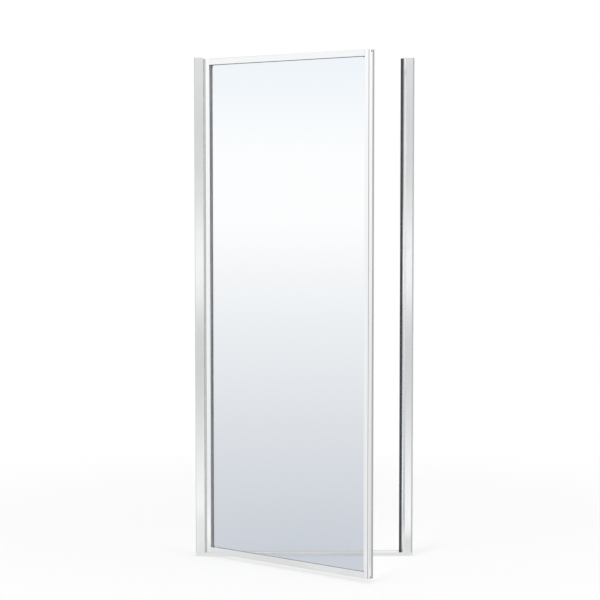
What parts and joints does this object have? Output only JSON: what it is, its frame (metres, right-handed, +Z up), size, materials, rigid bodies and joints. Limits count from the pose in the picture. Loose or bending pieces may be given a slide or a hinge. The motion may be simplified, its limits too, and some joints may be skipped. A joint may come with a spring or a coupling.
{
  "type": "hinged shower door",
  "caption": "Framed glass shower door on a full-length hinge, with wall jambs, a low sill and a magnetic closing strip.",
  "frame": {"origin": "centre of the sill's underside, midway between the two wall faces", "axes": "+X from the hinge side to the strike side, +Y into the shower, +Z up; the door opens towards -Y"},
  "size_m": [0.711, 0.4167, 1.626],
  "materials": {
    "bright_aluminium": "bright dipped and anodised, drawn along its length",
    "clear_glass": "clear tempered float glass",
    "gasket_vinyl": "mid-grey glazing vinyl, satin",
    "grey_vinyl": "grey magnetic strip vinyl",
    "black_vinyl": "black magnetic strip vinyl",
    "sweep_vinyl": "translucent white flexible vinyl",
    "magnet_strip": "ferrite-filled flexible magnet",
    "stainless_steel": "stainless, lightly brushed"
  },
  "bodies": {
    "frame": {"sill": "bright_aluminium", "hinge_wall_channel": "bright_aluminium", "strike_wall_channel": "bright_aluminium", "hinge_jamb": "bright_aluminium", "strike_jamb": "bright_aluminium", "hinge_jamb_screws": "stainless_steel", "strike_jamb_screws": "stainless_steel", "strike_magnet_sleeve": "black_vinyl", "strike_magnet_core": "magnet_strip", "jamb_leaf": "bright_aluminium", "hinge_pin": "stainless_steel", "jamb_leaf_rivets": "stainless_steel"},
    "door": {"door_leaf": "bright_aluminium", "door_leaf_rivets": "stainless_steel", "hinge_stile": "bright_aluminium", "strike_stile": "bright_aluminium", "top_rail": "bright_aluminium", "bottom_rail": "bright_aluminium", "corner_screws": "stainless_steel", "glass_panel": "clear_glass", "glazing_gasket": "gasket_vinyl", "door_magnet_sleeve": "grey_vinyl", "door_magnet_core": "magnet_strip", "drip_rail": "bright_aluminium", "drip_sweep": "sweep_vinyl", "drip_rail_screws": "stainless_steel"}
  },
  "joints": [
    {"name": "door_swing", "type": "hinge", "parent": "frame", "child": "door", "pos_m": [-0.32175, -0.017, 0.8175], "axis": [0, 0, -1], "range_deg": [-36, 84]}
  ]
}
